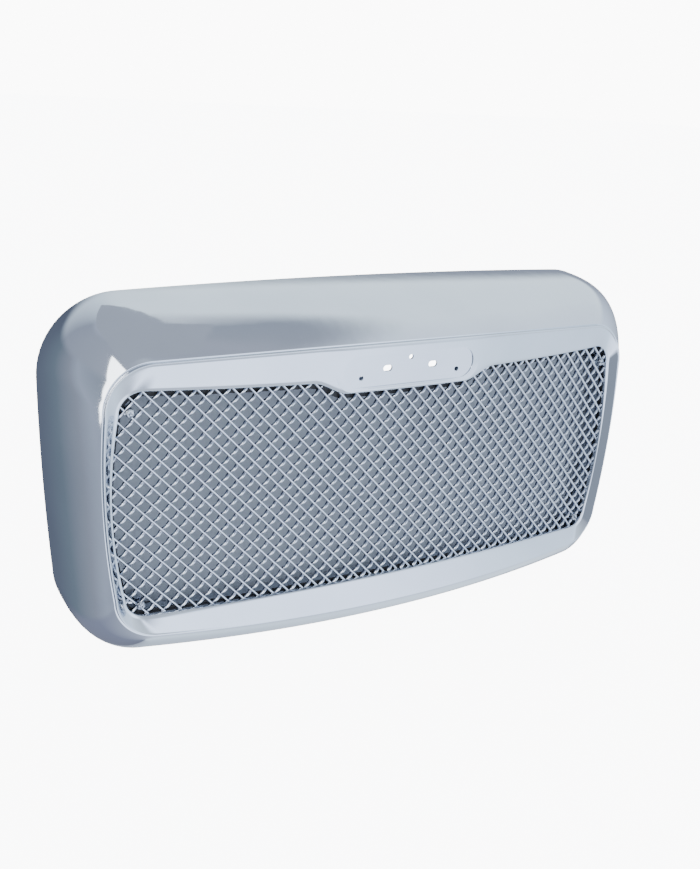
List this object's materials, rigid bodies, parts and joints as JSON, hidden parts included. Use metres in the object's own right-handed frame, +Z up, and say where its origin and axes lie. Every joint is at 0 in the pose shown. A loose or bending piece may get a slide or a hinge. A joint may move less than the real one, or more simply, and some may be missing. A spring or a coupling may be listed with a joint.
{
  "type": "front grille",
  "caption": "Chromed front grille for a heavy vehicle: a deep flared surround, a bowed diamond lattice held by corner screws, and a framed insect screen behind it.",
  "frame": {"origin": "centre of the four mounting holes, on the plane of the vehicle's face that the brackets and the seal sit against", "axes": "+X to the right seen from the front, +Y back into the vehicle, +Z up; the grille faces -Y"},
  "size_m": [1.0754, 0.195, 0.5855],
  "materials": {
    "chrome_plastic": "bright chrome plate on a moulded plastic",
    "chrome_lattice": "bright chrome plate on a moulded plastic",
    "zinc_steel": "zinc-plated steel, dull",
    "stainless": "plain stainless steel",
    "rail_alloy": "mill-finish aluminium",
    "screen_cloth": "woven aluminium insect cloth",
    "black_nylon": "moulded black nylon",
    "black_rubber": "moulded rubber",
    "seal_foam": "closed-cell foam rubber"
  },
  "bodies": {
    "root": {"surround": "chrome_plastic", "mesh_insert": "chrome_lattice", "mesh_screws": "stainless", "mesh_washers": "stainless", "screen_top_rail": "rail_alloy", "screen_bottom_rail": "rail_alloy", "screen_left_rail": "rail_alloy", "screen_right_rail": "rail_alloy", "screen_corner_keys": "black_nylon", "insect_screen": "screen_cloth", "screen_spline": "black_rubber", "screen_clips": "zinc_steel", "clip_screws": "zinc_steel", "upper_left_bracket": "zinc_steel", "upper_right_bracket": "zinc_steel", "lower_left_bracket": "zinc_steel", "lower_right_bracket": "zinc_steel", "bracket_screws": "zinc_steel", "rubber_bumpers": "black_rubber", "hood_seal": "seal_foam"}
  },
  "joints": []
}
